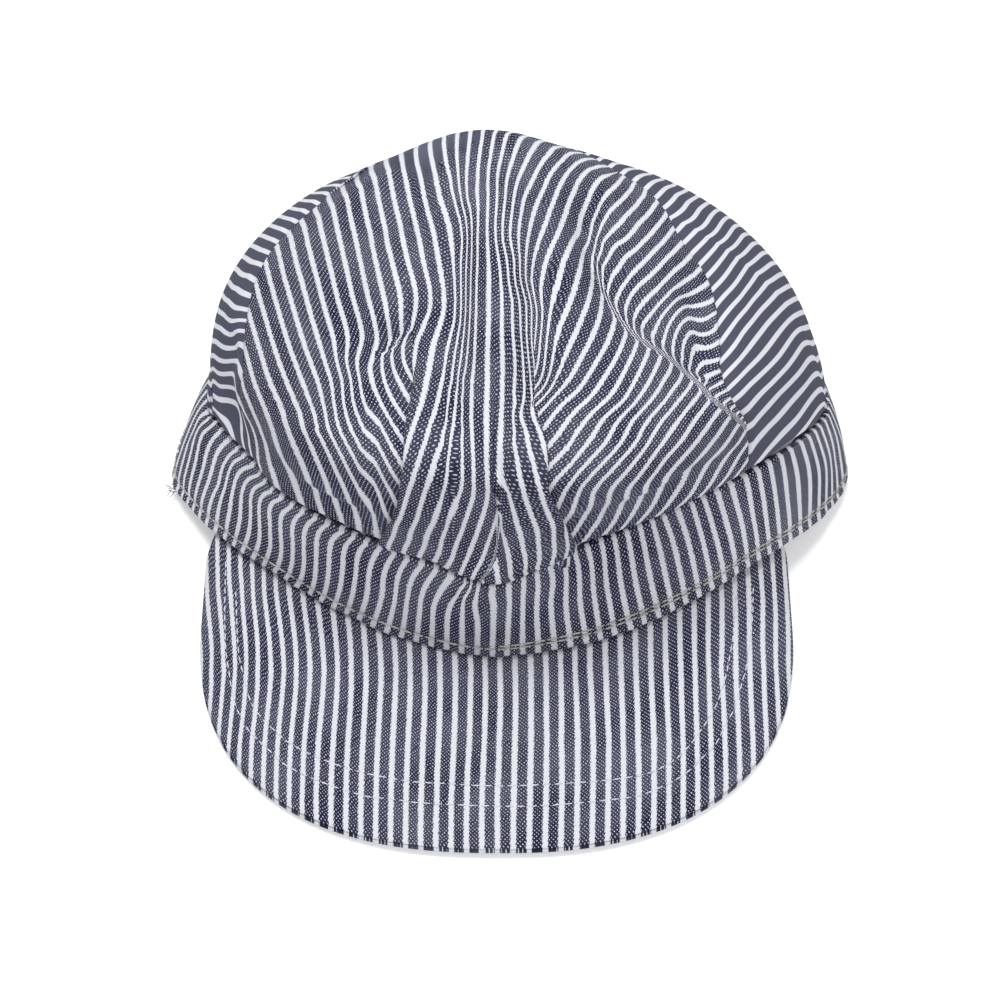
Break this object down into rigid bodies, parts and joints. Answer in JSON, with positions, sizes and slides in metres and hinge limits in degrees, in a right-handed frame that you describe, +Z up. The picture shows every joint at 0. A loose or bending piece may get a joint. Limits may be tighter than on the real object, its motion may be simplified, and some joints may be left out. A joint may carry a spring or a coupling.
{
  "type": "railroad engineer cap",
  "caption": "Soft striped cloth cap with a pleated full crown, a folded band round the head opening and a broad double cloth visor.",
  "frame": {"origin": "on the surface the cap lies on, under the middle of the whole cap's box", "axes": "+Z up from the surface to the crown, -Y towards the visor's front edge, +X to the right as seen from the visor's side"},
  "size_m": [0.2106, 0.2196, 0.1136],
  "materials": {
    "crown_cloth": "matte striped twill",
    "band_cloth": "matte striped twill",
    "visor_cloth": "matte striped twill"
  },
  "bodies": {
    "root": {"crown_front": "crown_cloth", "crown_rear": "crown_cloth", "band": "band_cloth", "visor_top": "visor_cloth", "visor_under": "visor_cloth"}
  },
  "joints": []
}
